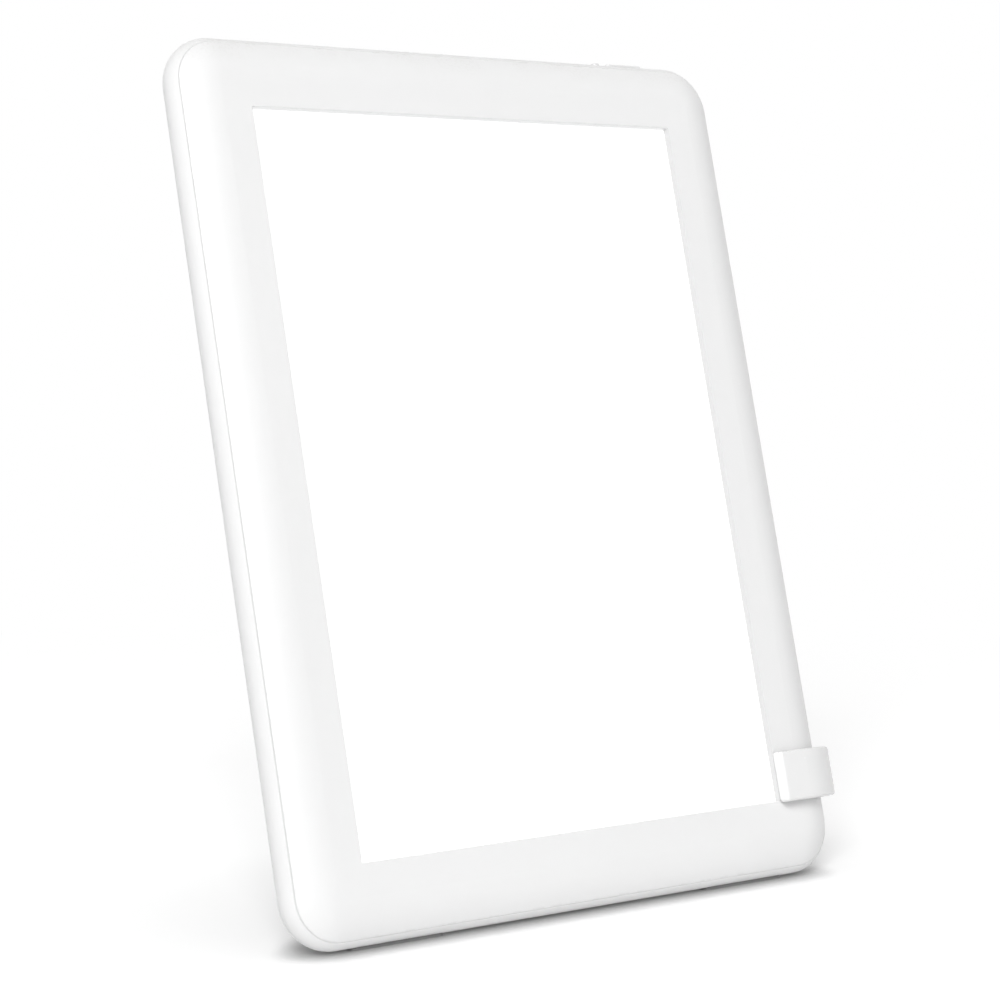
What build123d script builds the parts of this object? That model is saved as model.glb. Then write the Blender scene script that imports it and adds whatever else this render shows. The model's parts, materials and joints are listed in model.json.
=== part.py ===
"""A table lamp for light therapy: a flat edge-lit panel in a two-part moulded
housing, leaning back on a bent strip that clips round one side of it.

Millimetres. +Z is up from the table, the window faces -Y, and the lamp stands
with its housing and its strip on the table plane, centred on the origin."""

from build123d import *
import math
import os

os.makedirs("parts", exist_ok=True)

# ------------------------------------------------------------------ stance
lean = 14.9                 # how far the window leans back from upright, degrees
heel_lift = 0.35            # lowest line of the housing above the table

# ------------------------------------------------------------------ window and frame
window_w = 125.4
window_h = 176.2
window_r = 0.3
window_bevel = 0.2
margin = 18.33              # window edge to the housing's widest line, all round
corner_r = 12.2             # plan corners at the widest line
flat_corner_r = 1.35        # corners of the frame's flat
back_corner_r = 1.2         # corners of the flat back

# ------------------------------------------------------------------ housing mouldings
body_depth = 20.3
front_turn = 39.1           # degrees the frame's edge rounds off before the parting line
bulge_r = 4.85              # tighter rounding that goes on behind that line
back_r = 4.0                # rounding between the sloping side and the flat back
wall = 2.0
bezel_t = 1.8
lap = 0.6                   # how far the rim runs into the flat plate it carries
tongue_t = 0.9
tongue_h = 1.5
tongue_gap = 0.1
reveal_w = 0.25             # shadow line round the parting edge
reveal_d = 0.3
snap_len = 9.0
snap_pitch = 58.0
snap_rows = 3
snap_rise = 0.35
snap_h = 0.8

# ------------------------------------------------------------------ light stack
panel_lap = 3.0             # diffuser hidden behind the frame, each side
diffuser_t = 1.5
guide_t = 3.0
reflector_t = 0.4
chassis_t = 1.2
guide_inset = 1.5           # guide edge inside the diffuser edge
led_w = 1.4
led_len = 3.0
led_t = 0.8
led_gap = 0.1
led_spacing = 6.0
led_rows = 29
strip_t = 1.0
strip_edge_gap = 0.1
strip_tail = 3.2            # strip end below the stack, where its lead is soldered
flange_gap = 0.3
rib_t = 1.2
rib_gap = 0.2
rib_len = 112.0
rib_depth = 4.0

# ------------------------------------------------------------------ screws and bosses
boss_r = 2.9
boss_gap = 0.1
boss_h = 9.2                # front bosses behind the bezel plate
pilot_r = 1.3
pilot_floor = 1.4
shank_r = 1.22
shank_len = 8.5
head_r = 2.4
head_h = 1.8
drive_w = 1.3
drive_d = 0.9
well_r = 3.9
well_floor = 1.5
well_bore_r = 2.75
well_hole_r = 1.5
small_shank_r = 0.95
small_pilot_r = 1.0
small_head_r = 1.9
small_head_h = 1.3
small_shank_len = 5.0
tab_r = 3.6
tab_inset = 10.6            # tab centre inside the tray's side
tab_step = 22.0             # top right tab inside the housing screw beside it

# ------------------------------------------------------------------ driver board
board_w = 64.0
board_h = 34.0
board_t = 1.6
board_v = 38.0              # board centre above the housing's bottom edge
standoff_h = 1.8
standoff_r = 2.4
standoff_inset = 4.0
socket_w = 7.5
socket_d = 6.0
socket_h = 4.4
socket_wall = 0.8
socket_pocket = 3.0
socket_gap = 2.35
coil_x = -12.0
coil_w = 12.0
coil_base_h = 1.0
coil_r = 5.4
coil_h = 5.2
capacitor_x = 2.5
capacitor_pitch = 8.0
capacitor_r = 3.15
capacitor_h = 5.4
capacitor_base_w = 6.6
capacitor_base_h = 0.7
chip_x = 12.0
chip_drop = 8.0             # chips below the board's centre line
chip_w = 5.0
chip_h = 4.0
chip_t = 1.6
chip_pitch = 12.0
pin_w = 0.45
pin_pitch = 1.27
pin_reach = 1.0
pins_per_side = 4

# ------------------------------------------------------------------ power inlet
jack_step = 14.0            # jack centre beyond the board's end
jack_w = 11.5
jack_len = 8.6
jack_bore_r = 2.8
jack_bore_depth = 7.4
jack_pin_r = 1.0
jack_pin_len = 6.4
inlet_r = 5.0
cradle_gap = 0.15
cradle_t = 1.2
cradle_h = 4.6

# ------------------------------------------------------------------ top edge buttons
button_y = 7.8              # button row behind the bezel's front
button_travel = 0.4
button_gap = 0.2
flange_lip = 0.6
flange_t = 1.0
flange_play = 0.3
button_edge = 0.45
power_inset = 24.3          # wide button's centre inside the housing's side
power_len = 11.7
power_w = 3.6
power_corner_r = 1.0
power_rise = 0.6
dimmer_step = 8.65          # from one button's centre to the other's
dimmer_r = 1.25
dimmer_rise = 0.9
stem_r = 1.1
key_board_shift = 1.75
key_board_w = 28.0
key_board_d = 7.0
key_board_t = 1.0
key_board_lift = 0.4        # above the locating rib
switch_w = 4.5
switch_h = 3.0
actuator_r = 1.1
actuator_rise = 1.0
actuator_seat = 0.9
actuator_gap = 0.1
post_w = 2.6
post_lip = 1.4
post_bite = 2.3
post_gap = 0.05

# ------------------------------------------------------------------ inner leads
lead_r = 0.6
lead_bend = 1.5
lead_drop = 2.4             # strip leads' run below the board
lead_turn = 15.0

# ------------------------------------------------------------------ stand and feet
strip_w = 12.6              # height of the bent strip
strip_lift = 17.85          # strip's lower edge above the housing's bottom edge
lip_t = 3.5
lip_over = 0.6              # front lip's end past the window's edge
clip_gap = 0.3
rear_lip_x = 50.0
bar_start_x = 40.0
bar_end_x = -26.0
rear_bend = 9.0
bar_bend = 14.0
lip_end_r = 0.9
strip_edge = 0.8
stand_pad_min = 1.0
stand_pad_len = 16.0
stand_pad_inset = 0.3
foot_x = 52.0
foot_len = 26.0
foot_w = 4.0
foot_seat = 1.1

# ------------------------------------------------------------------ derived places
quarter = 90
half_turn = 180
sin_lean = math.sin(math.radians(lean))
cos_lean = math.cos(math.radians(lean))
body_w = window_w + 2 * margin
body_h = window_h + 2 * margin
back_inside = body_depth - wall
window_v = margin + window_h / 2

# The housing's edge section, from the front: a wide arc, the parting line, a
# tighter arc through the widest line, a slope and a last arc to the flat back.
sin_front = math.sin(math.radians(front_turn))
cos_front = math.cos(math.radians(front_turn))
bulge_x = bulge_r * sin_front
bulge_y = bulge_r * cos_front
overhang = bulge_r - bulge_x
parting_w = body_w - 2 * overhang
parting_h = body_h - 2 * overhang
parting_r = corner_r - overhang
front_run = parting_r - flat_corner_r
front_r = front_run / sin_front
front_depth = front_r * (1 - cos_front)
rear_depth = body_depth - front_depth
widest_depth = front_depth + bulge_y
back_x = parting_r - back_corner_r
slope_run = back_x - bulge_x
slope_drop = rear_depth - back_r - bulge_y
slope_shift = math.degrees(math.acos((bulge_r - back_r) / math.hypot(slope_run, slope_drop)))
slope_turn = half_turn - math.degrees(math.atan2(slope_drop, slope_run)) - slope_shift
sin_slope = math.sin(math.radians(slope_turn))
cos_slope = math.cos(math.radians(slope_turn))

panel_w = window_w + 2 * panel_lap
panel_h = window_h + 2 * panel_lap
stack_bottom = window_v - panel_h / 2
stack_top = window_v + panel_h / 2
guide_w = panel_w - 2 * guide_inset
guide_front = bezel_t + diffuser_t
guide_back = guide_front + guide_t
chassis_front = guide_back + reflector_t
chassis_back = chassis_front + chassis_t
led_x = guide_w / 2 + led_gap
strip_x = led_x + led_t
flange_x = strip_x + strip_t
strip_front = guide_front + strip_edge_gap
strip_back = chassis_front - strip_edge_gap

power_x = body_w / 2 - power_inset
dimmer_x = power_x - dimmer_step
key_board_x = power_x - key_board_shift

boss_offset = rib_gap + rib_t + boss_gap + boss_r
boss_top_v = stack_top + boss_offset
boss_bottom_v = stack_bottom - boss_offset
boss_end = bezel_t + boss_h
well_seat = boss_end + well_floor
housing_screw_x = key_board_x - key_board_w / 2 - well_r - boss_gap
tab_x = flange_x + chassis_t - tab_inset
tab_points = [
    (-tab_x, boss_top_v),
    (housing_screw_x - tab_step, boss_top_v),
    (-tab_x, boss_bottom_v),
    (tab_x, boss_bottom_v),
]
housing_screw_points = [
    (-housing_screw_x, boss_top_v),
    (housing_screw_x, boss_top_v),
    (-housing_screw_x, boss_bottom_v),
    (housing_screw_x, boss_bottom_v),
]

board_back = back_inside - standoff_h
board_front = board_back - board_t
standoff_x = board_w / 2 - standoff_inset
standoff_v = board_h / 2 - standoff_inset
board_screw_points = [
    (-standoff_x, board_v - standoff_v),
    (standoff_x, board_v - standoff_v),
    (-standoff_x, board_v + standoff_v),
    (standoff_x, board_v + standoff_v),
]
jack_socket_x = -board_w / 2 + socket_d / 2
jack_x = -board_w / 2 - jack_step
socket_x = standoff_x - small_head_r - socket_gap - socket_w / 2
strip_socket_v = board_v - board_h / 2 + socket_d / 2
key_socket_v = board_v + board_h / 2 - socket_d / 2
socket_mid = board_front - socket_h / 2

key_board_v = stack_top + rib_gap + rib_t + key_board_lift
switch_v = key_board_v + key_board_t
switch_top = switch_v + switch_h
inner_r = bulge_r - wall
flange_back = button_y + power_w / 2 + flange_lip
slope_reach = flange_back - widest_depth - inner_r * sin_slope
roof_drop = bulge_r - inner_r * cos_slope + slope_reach * sin_slope / cos_slope
flange_top = body_h - roof_drop - flange_play
stem_bottom = switch_top + actuator_rise

# The housing's lowest line is where its bulge is level on the table.
heel_v = bulge_r * (1 - cos_lean)
heel_depth = widest_depth + bulge_r * sin_lean
face_z = heel_lift - heel_v * cos_lean + heel_depth * sin_lean

# The strip's rear bar is as far back as its sloping lower edge takes to come down.
lip_front = clip_gap + lip_t
lip_end_x = window_w / 2 - lip_over
bar_back = (face_z + strip_lift * cos_lean - stand_pad_min) / sin_lean
bar_y = bar_back - lip_t / 2
strip_top = strip_lift + strip_w
front_reach = strip_lift * sin_lean - lip_front * cos_lean
back_reach = strip_top * sin_lean + bar_back * cos_lean
face_y = -(front_reach + back_reach) / 2
face_x = -lip_front / 2
heel_y = face_y + heel_v * sin_lean + heel_depth * cos_lean

# The bezel's front plane: x to the right, y up the window, z towards the viewer.
face = Plane(
    origin=(face_x, face_y, face_z),
    x_dir=(1, 0, 0),
    z_dir=(0, -cos_lean, sin_lean),
)
middle = Plane(origin=face.origin, x_dir=face.y_dir, z_dir=face.x_dir)


def behind(depth):
    """The plane at a depth behind the bezel's front."""
    return face.offset(-depth)


def across(height):
    """The plane square to the window at a height: x right, y to the back."""
    start = face.from_local_coords((0, height, 0))
    return Plane(origin=start, x_dir=face.x_dir, z_dir=face.y_dir)


def spot(x, height, depth):
    """A point by its place across, up and behind the bezel."""
    return face.from_local_coords((x, height, -depth))


def save(part, name):
    """Label a finished piece and write it."""
    part.label = name
    export_step(part, f"parts/{name}.step")


# ------------------------------------------------------------------ rim path
# Both mouldings carry their edge section round the same rounded rectangle,
# which is the parting line. The section plane has x inwards and y forwards.
with BuildSketch(behind(front_depth)) as parting:
    with Locations((0, body_h / 2)):
        RectangleRounded(parting_w, parting_h, parting_r)

rim_path = parting.sketch.face().outer_wire()
rim_plane = Plane(origin=rim_path @ 0, x_dir=face.x_dir, z_dir=rim_path % 0)


def snap_heights():
    """Heights of the snap beads up each side."""
    first = window_v - snap_pitch * (snap_rows - 1) / 2
    return [first + snap_pitch * row for row in range(snap_rows)]


def snap_points(grow):
    """A snap bead's section: a ramp that rises from the tongue towards its root."""
    root_x = parting_w / 2 - (wall - tongue_t)
    low = front_depth + tongue_h - snap_h
    return [
        (root_x - tongue_t / 2, low - grow),
        (root_x + snap_rise + grow, low - grow),
        (root_x + snap_rise + grow, low + grow + snap_h / 4),
        (root_x - tongue_t / 2, low + snap_h + 2 * grow),
    ]


# ------------------------------------------------------------------ front shell
# The white frame: a rounded edge all round, a flat plate with the window in it,
# a tongue that enters the rear shell, bosses and two ribs that place the stack.
front_centre = (front_run, front_depth - front_r)
inner_turn = math.degrees(math.acos((front_r - front_depth) / (front_r - bezel_t)))

with BuildPart() as front_shell:
    with BuildSketch(rim_plane):
        with BuildLine():
            outer = CenterArc(front_centre, front_r, quarter, front_turn)
            inner = CenterArc(front_centre, front_r - bezel_t, quarter, inner_turn)
            Polyline(
                outer @ 1,
                (wall - tongue_t, 0),
                (wall - tongue_t, -tongue_h),
                (wall, -tongue_h),
                (wall, 0),
                inner @ 1,
            )
            Polyline(
                inner @ 0,
                (front_run + lap, front_depth - bezel_t),
                (front_run + lap, front_depth),
                outer @ 0,
            )
        make_face()
    sweep(path=rim_path)
    with BuildSketch(face):
        with Locations((0, body_h / 2)):
            RectangleRounded(parting_w - 2 * front_run, parting_h - 2 * front_run, flat_corner_r)
        with Locations((0, window_v)):
            RectangleRounded(window_w, window_h, window_r, mode=Mode.SUBTRACT)
    extrude(amount=-bezel_t)
    with BuildSketch(face):
        with Locations((0, window_v)):
            RectangleRounded(
                window_w + 2 * window_bevel, window_h + 2 * window_bevel, window_r + window_bevel
            )
    extrude(amount=-window_bevel, taper=45, mode=Mode.SUBTRACT)
    with BuildSketch(behind(bezel_t)):
        with Locations((0, stack_top + rib_gap + rib_t / 2)):
            Rectangle(rib_len, rib_t)
        with Locations((0, stack_bottom - rib_gap - rib_t / 2)):
            Rectangle(rib_len, rib_t)
    extrude(amount=-rib_depth)
    with BuildSketch(behind(bezel_t)):
        with Locations(*tab_points):
            Circle(boss_r)
    extrude(amount=-(chassis_front - bezel_t))
    with BuildSketch(behind(bezel_t)):
        with Locations(*housing_screw_points):
            Circle(boss_r)
    extrude(amount=-boss_h)
    with BuildSketch(behind(bezel_t + pilot_floor)):
        with Locations(*housing_screw_points):
            Circle(pilot_r)
    extrude(amount=-boss_h, mode=Mode.SUBTRACT)
    with BuildSketch(behind(bezel_t)):
        with Locations(*tab_points):
            Circle(small_pilot_r)
    extrude(amount=-(chassis_front - bezel_t), mode=Mode.SUBTRACT)
    for height in snap_heights():
        with BuildSketch(across(height - snap_len / 2)):
            with BuildLine():
                Polyline(*snap_points(0), close=True)
            make_face()
        bead = extrude(amount=snap_len)
        mirror(bead, about=middle)
save(front_shell.part, "front_shell")

# ------------------------------------------------------------------ rear shell
# The tray behind: a bulging edge that slopes in to a flat back, wells for the
# housing screws, standoffs for the board, an inlet cradle and key board posts.
rim_reach = back_x + lap
post_x = (key_board_w - post_w) / 2
post_front = button_y + key_board_d / 2 - post_bite


def rear_edge(inset):
    """The edge curve at a depth inside the surface, and its two ends."""
    bulge = CenterArc(
        (bulge_x, -bulge_y), bulge_r - inset, quarter + front_turn, quarter - front_turn + slope_turn
    )
    turn = CenterArc(
        (back_x, back_r - rear_depth), back_r - inset, half_turn + slope_turn, quarter - slope_turn
    )
    Line(bulge @ 1, turn @ 0)
    return bulge @ 0, turn @ 1


def core(depth):
    """The block inside the swept rim, from the parting line back to a depth."""
    with BuildPart() as block:
        with BuildSketch(behind(front_depth)):
            with Locations((0, body_h / 2)):
                RectangleRounded(parting_w - 2 * back_x, parting_h - 2 * back_x, back_corner_r)
        extrude(amount=-(depth - front_depth))
    return block.part


# The hollow is what the moulding's core leaves: all but its posts and tubes.
with BuildPart() as hollow:
    with BuildSketch(rim_plane):
        with BuildLine():
            start, end = rear_edge(wall)
            Polyline(end, (rim_reach, wall - rear_depth), (rim_reach, 0), (start.X, 0), start)
        make_face()
        with Locations((wall - tongue_t - tongue_gap, 0)):
            Rectangle(bulge_x, tongue_h + tongue_gap, align=(Align.MIN, Align.MAX))
    sweep(path=rim_path)
    add(core(back_inside))
    with BuildSketch(behind(boss_end)):
        with Locations(*housing_screw_points):
            Circle(well_r)
    extrude(amount=-body_depth, mode=Mode.SUBTRACT)
    with BuildSketch(behind(board_back)):
        with Locations(*board_screw_points):
            Circle(standoff_r)
    extrude(amount=-body_depth, mode=Mode.SUBTRACT)
    with BuildSketch(behind(back_inside - cradle_h)):
        with Locations((jack_x, board_v)):
            Rectangle(jack_w + 2 * (cradle_gap + cradle_t), jack_w + 2 * (cradle_gap + cradle_t))
            Rectangle(jack_w + 2 * cradle_gap, jack_w + 2 * cradle_gap, mode=Mode.SUBTRACT)
    extrude(amount=-body_depth, mode=Mode.SUBTRACT)
    with BuildSketch(across(key_board_v - post_lip)):
        for end_x in (key_board_x - post_x, key_board_x + post_x):
            with Locations((end_x, post_front)):
                Rectangle(post_w, body_depth, align=(Align.CENTER, Align.MIN))
    extrude(amount=key_board_t + 2 * post_lip, mode=Mode.SUBTRACT)

with BuildPart() as rear_shell:
    with BuildSketch(rim_plane):
        with BuildLine():
            start, end = rear_edge(0)
            Polyline(end, (rim_reach, -rear_depth), (rim_reach, 0), start)
        make_face()
        Rectangle(2 * reveal_d, 2 * reveal_w, mode=Mode.SUBTRACT)
    sweep(path=rim_path)
    add(core(body_depth))
    add(hollow.part, mode=Mode.SUBTRACT)
    with BuildSketch(across(key_board_v - post_gap)):
        with Locations((key_board_x, button_y)):
            Rectangle(key_board_w + 2 * post_gap, key_board_d + 2 * post_gap)
    extrude(amount=key_board_t + 2 * post_gap, mode=Mode.SUBTRACT)
    with BuildSketch(behind(well_seat)):
        with Locations(*housing_screw_points):
            Circle(well_bore_r)
    extrude(amount=-body_depth, mode=Mode.SUBTRACT)
    with BuildSketch(behind(boss_end)):
        with Locations(*housing_screw_points):
            Circle(well_hole_r)
    extrude(amount=-well_floor, mode=Mode.SUBTRACT)
    with BuildSketch(behind(board_back)):
        with Locations(*board_screw_points):
            Circle(small_pilot_r)
    extrude(amount=-(standoff_h + wall / 2), mode=Mode.SUBTRACT)
    with BuildSketch(behind(back_inside)):
        with Locations((jack_x, board_v)):
            Circle(inlet_r)
    extrude(amount=-wall, mode=Mode.SUBTRACT)
    with BuildSketch(across(flange_top)):
        with Locations((power_x, button_y)):
            RectangleRounded(
                power_len + 2 * button_gap, power_w + 2 * button_gap, power_corner_r + button_gap
            )
        with Locations((dimmer_x, button_y)):
            Circle(dimmer_r + button_gap)
    extrude(amount=body_h - flange_top + wall, mode=Mode.SUBTRACT)
    for height in snap_heights():
        with BuildSketch(across(height - snap_len / 2 - tongue_gap)):
            with BuildLine():
                Polyline(*snap_points(tongue_gap), close=True)
            make_face()
        pocket = extrude(amount=snap_len + 2 * tongue_gap, mode=Mode.SUBTRACT)
        mirror(pocket, about=middle, mode=Mode.SUBTRACT)
    with BuildSketch(Plane.XY):
        with Locations((face_x - foot_x, heel_y), (face_x + foot_x, heel_y)):
            RectangleRounded(
                foot_len + 2 * tongue_gap, foot_w + 2 * tongue_gap, foot_w / 2 - tongue_gap
            )
    extrude(amount=heel_lift + foot_seat, mode=Mode.SUBTRACT)
save(rear_shell.part, "rear_shell")


# ------------------------------------------------------------------ light stack
# From the front: an opal diffuser against the frame, a clear guide lit from
# both long edges, a white sheet and a folded aluminium tray that holds them.
with BuildPart() as diffuser_panel:
    with BuildSketch(behind(bezel_t)):
        with Locations((0, window_v)):
            Rectangle(panel_w, panel_h)
    extrude(amount=-diffuser_t)
save(diffuser_panel.part, "diffuser_panel")

with BuildPart() as light_guide:
    with BuildSketch(behind(guide_front)):
        with Locations((0, window_v)):
            Rectangle(guide_w, panel_h)
    extrude(amount=-guide_t)
save(light_guide.part, "light_guide")

with BuildPart() as reflector_sheet:
    with BuildSketch(behind(guide_back)):
        with Locations((0, window_v)):
            Rectangle(guide_w, panel_h)
    extrude(amount=-reflector_t)
save(reflector_sheet.part, "reflector_sheet")

with BuildPart() as chassis_tray:
    with BuildSketch(behind(chassis_front)):
        with Locations((0, window_v)):
            Rectangle(2 * (flange_x + chassis_t), panel_h)
        for ear_x, ear_v in tab_points:
            root_v = stack_top if ear_v > window_v else stack_bottom
            with Locations((ear_x, (ear_v + root_v) / 2)):
                Rectangle(2 * tab_r, abs(ear_v - root_v))
            with Locations((ear_x, ear_v)):
                Circle(tab_r)
                Circle(small_pilot_r, mode=Mode.SUBTRACT)
    extrude(amount=-chassis_t)
    with BuildSketch(behind(bezel_t + flange_gap)):
        for side in (-1, 1):
            with Locations((side * (flange_x + chassis_t / 2), window_v)):
                Rectangle(chassis_t, panel_h)
    extrude(amount=-(chassis_back - bezel_t - flange_gap))
save(chassis_tray.part, "chassis_tray")


def led_strip(side):
    """One narrow circuit strip on the tray's flange."""
    length = panel_h + strip_tail
    with BuildPart() as strip:
        with BuildSketch(behind(strip_front)):
            with Locations((side * (strip_x + strip_t / 2), stack_top - length / 2)):
                Rectangle(strip_t, length)
        extrude(amount=-(strip_back - strip_front))
    return strip.part


def led_row(side):
    """The row of lamps on one strip, facing the guide's edge."""
    middle_depth = guide_front + guide_t / 2
    with BuildPart() as row:
        with BuildSketch(behind(middle_depth - led_w / 2)):
            with Locations((side * (led_x + led_t / 2), window_v)):
                with GridLocations(led_t, led_spacing, 1, led_rows):
                    Rectangle(led_t, led_len)
        extrude(amount=-led_w)
    return row.part


save(led_strip(-1), "led_strip_left")
save(led_strip(1), "led_strip_right")
save(led_row(-1), "leds_left")
save(led_row(1), "leds_right")


# ------------------------------------------------------------------ screws
def screw_set(points, seat, radius, length, cap_r, cap_h):
    """Like screws driven forwards from a seat depth, with a crossed recess."""
    with BuildPart() as screws:
        with BuildSketch(behind(seat)):
            with Locations(*points):
                Circle(radius)
        extrude(amount=length)
        with BuildSketch(behind(seat)):
            with Locations(*points):
                Circle(cap_r)
        extrude(amount=-cap_h)
        rims = screws.edges().filter_by(GeomType.CIRCLE).group_by(Axis(face.origin, face.z_dir))
        chamfer(rims[0], cap_h / 3)
        with BuildSketch(behind(seat + cap_h)):
            with Locations(*points):
                Rectangle(drive_w * 2, drive_w / 2)
                Rectangle(drive_w / 2, drive_w * 2)
        extrude(amount=drive_d, mode=Mode.SUBTRACT)
    return screws.part


save(screw_set(housing_screw_points, well_seat, shank_r, shank_len, head_r, head_h), "housing_screws")
save(
    screw_set(tab_points, chassis_back, small_shank_r, small_shank_len, small_head_r, small_head_h),
    "chassis_screws",
)

# The board's screws are driven backwards into the rear shell's standoffs.
with BuildPart() as board_screws:
    with BuildSketch(behind(board_front)):
        with Locations(*board_screw_points):
            Circle(small_shank_r)
    extrude(amount=-(board_t + standoff_h))
    with BuildSketch(behind(board_front)):
        with Locations(*board_screw_points):
            Circle(small_head_r)
    extrude(amount=small_head_h)
    with BuildSketch(behind(board_front - small_head_h)):
        with Locations(*board_screw_points):
            Rectangle(drive_w * 2, drive_w / 2)
            Rectangle(drive_w / 2, drive_w * 2)
    extrude(amount=-drive_d, mode=Mode.SUBTRACT)
save(board_screws.part, "board_screws")

# ------------------------------------------------------------------ driver board
with BuildPart() as driver_board:
    with BuildSketch(behind(board_front)):
        with Locations((0, board_v)):
            Rectangle(board_w, board_h)
        with Locations(*board_screw_points):
            Circle(small_pilot_r, mode=Mode.SUBTRACT)
    extrude(amount=-board_t)
save(driver_board.part, "driver_board")

with BuildPart() as driver_coil:
    with BuildSketch(behind(board_front)):
        with Locations((coil_x, board_v)):
            RectangleRounded(coil_w, coil_w, coil_base_h)
    extrude(amount=coil_base_h)
    with BuildSketch(behind(board_front)):
        with Locations((coil_x, board_v)):
            Circle(coil_r)
    extrude(amount=coil_h)
    chamfer(driver_coil.edges().group_by(Axis(face.origin, face.z_dir))[-1], coil_base_h)
save(driver_coil.part, "driver_coil")

with BuildPart() as driver_capacitors:
    with BuildSketch(behind(board_front)):
        with Locations((capacitor_x + capacitor_pitch / 2, board_v)):
            with GridLocations(capacitor_pitch, 1, 2, 1):
                Rectangle(capacitor_base_w, capacitor_base_w)
    extrude(amount=capacitor_base_h)
    with BuildSketch(behind(board_front - capacitor_base_h)):
        with Locations((capacitor_x + capacitor_pitch / 2, board_v)):
            with GridLocations(capacitor_pitch, 1, 2, 1):
                Circle(capacitor_r)
    extrude(amount=capacitor_h - capacitor_base_h)
    chamfer(
        driver_capacitors.edges().group_by(Axis(face.origin, face.z_dir))[-1], capacitor_base_h / 2
    )
save(driver_capacitors.part, "driver_capacitors")

with BuildPart() as driver_chips:
    with BuildSketch(behind(board_front)):
        with Locations((chip_x - chip_pitch / 2, board_v - chip_drop)):
            with GridLocations(chip_pitch, 1, 2, 1):
                Rectangle(chip_w, chip_h)
    extrude(amount=chip_t)
    with BuildSketch(behind(board_front)):
        with Locations((chip_x - chip_pitch / 2, board_v - chip_drop)):
            with GridLocations(chip_pitch, 1, 2, 1):
                with GridLocations(pin_pitch, 1, pins_per_side, 1):
                    Rectangle(pin_w, chip_h + 2 * pin_reach)
    extrude(amount=pin_w)
save(driver_chips.part, "driver_chips")


def socket(x, height, facing):
    """A lead socket on the board, its mouth facing outwards along the board."""
    turn = {"down": 0, "up": half_turn, "left": -quarter}[facing]
    with BuildPart() as body:
        with BuildSketch(behind(board_front)):
            with Locations(Location((x, height), turn)):
                Rectangle(socket_w, socket_d)
        extrude(amount=socket_h)
        with BuildSketch(behind(board_front - socket_wall)):
            with Locations(Location((x, height), turn)):
                with Locations((0, -socket_d / 2)):
                    Rectangle(
                        socket_w - 2 * socket_wall,
                        socket_pocket,
                        align=(Align.CENTER, Align.MIN),
                    )
        extrude(amount=socket_h - 2 * socket_wall, mode=Mode.SUBTRACT)
    return body.part


with BuildPart() as lead_sockets:
    add(socket(jack_socket_x, board_v, "left"))
    add(socket(-socket_x, strip_socket_v, "down"))
    add(socket(socket_x, strip_socket_v, "down"))
    add(socket(socket_x, key_socket_v, "up"))
save(lead_sockets.part, "lead_sockets")

# ------------------------------------------------------------------ power inlet
with BuildPart() as inlet_jack:
    with BuildSketch(behind(back_inside - jack_len)):
        with Locations((jack_x, board_v)):
            Rectangle(jack_w, jack_w)
    extrude(amount=-jack_len)
    with BuildSketch(behind(back_inside)):
        with Locations((jack_x, board_v)):
            Circle(jack_bore_r)
    extrude(amount=jack_bore_depth, mode=Mode.SUBTRACT)
save(inlet_jack.part, "inlet_jack")

with BuildPart() as inlet_pin:
    with BuildSketch(behind(back_inside - jack_bore_depth)):
        with Locations((jack_x, board_v)):
            Circle(jack_pin_r)
    extrude(amount=-jack_pin_len)
    chamfer(inlet_pin.edges().group_by(Axis(face.origin, face.z_dir))[0], jack_pin_r / 2)
save(inlet_pin.part, "inlet_pin")


# ------------------------------------------------------------------ inner leads
def lead(points):
    """A round lead through its corner points."""
    with BuildPart() as wire:
        with BuildLine() as route:
            FilletPolyline(*points, radius=lead_bend)
        with BuildSketch(Plane(origin=route.line @ 0, z_dir=route.line % 0)):
            Circle(lead_r)
        sweep(path=route.line)
    return wire.part


def strip_lead(side):
    """From a strip's lower end, under the tray and up to its socket."""
    start_x = side * (strip_x - lead_r - post_gap)
    start_v = stack_bottom - strip_tail + 2 * lead_r
    run_v = board_v - board_h / 2 - lead_drop
    mouth_v = strip_socket_v - socket_d / 2 + socket_pocket / 2
    return lead(
        [
            spot(start_x, start_v, strip_front + lead_r),
            spot(start_x, start_v, socket_mid),
            spot(start_x - side * lead_turn, run_v, socket_mid),
            spot(side * socket_x, run_v, socket_mid),
            spot(side * socket_x, mouth_v, socket_mid),
        ]
    )


save(strip_lead(-1), "strip_lead_left")
save(strip_lead(1), "strip_lead_right")

key_lead = lead(
    [
        spot(key_board_x, key_board_v - lead_r - post_gap, button_y),
        spot(key_board_x, key_board_v - lead_r - post_gap, socket_mid),
        spot(socket_x, key_socket_v + 4 * socket_d, socket_mid),
        spot(socket_x, key_socket_v + socket_d / 2 - socket_pocket / 2, socket_mid),
    ]
)
save(key_lead, "key_lead")

with BuildPart() as jack_leads:
    lead_from = jack_x + jack_w / 2
    lead_to = jack_socket_x - socket_d / 2 + socket_pocket / 2
    side_plane = Plane(origin=spot(lead_from, board_v, socket_mid), x_dir=face.y_dir, z_dir=face.x_dir)
    with BuildSketch(side_plane):
        with GridLocations(4 * lead_r, 1, 2, 1):
            Circle(lead_r)
    extrude(amount=lead_to - lead_from)
save(jack_leads.part, "jack_leads")

# ------------------------------------------------------------------ key board and switches
with BuildPart() as key_board:
    with BuildSketch(across(key_board_v)):
        with Locations((key_board_x, button_y)):
            Rectangle(key_board_w, key_board_d)
    extrude(amount=key_board_t)
save(key_board.part, "key_board")

with BuildPart() as key_switches:
    with BuildSketch(across(switch_v)):
        with Locations((power_x, button_y), (dimmer_x, button_y)):
            Rectangle(switch_w, switch_w)
    extrude(amount=switch_h)
    with BuildSketch(across(switch_top)):
        with Locations((power_x, button_y), (dimmer_x, button_y)):
            Circle(actuator_r + actuator_gap)
    extrude(amount=-(actuator_seat + button_travel + actuator_gap), mode=Mode.SUBTRACT)
save(key_switches.part, "key_switches")


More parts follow.
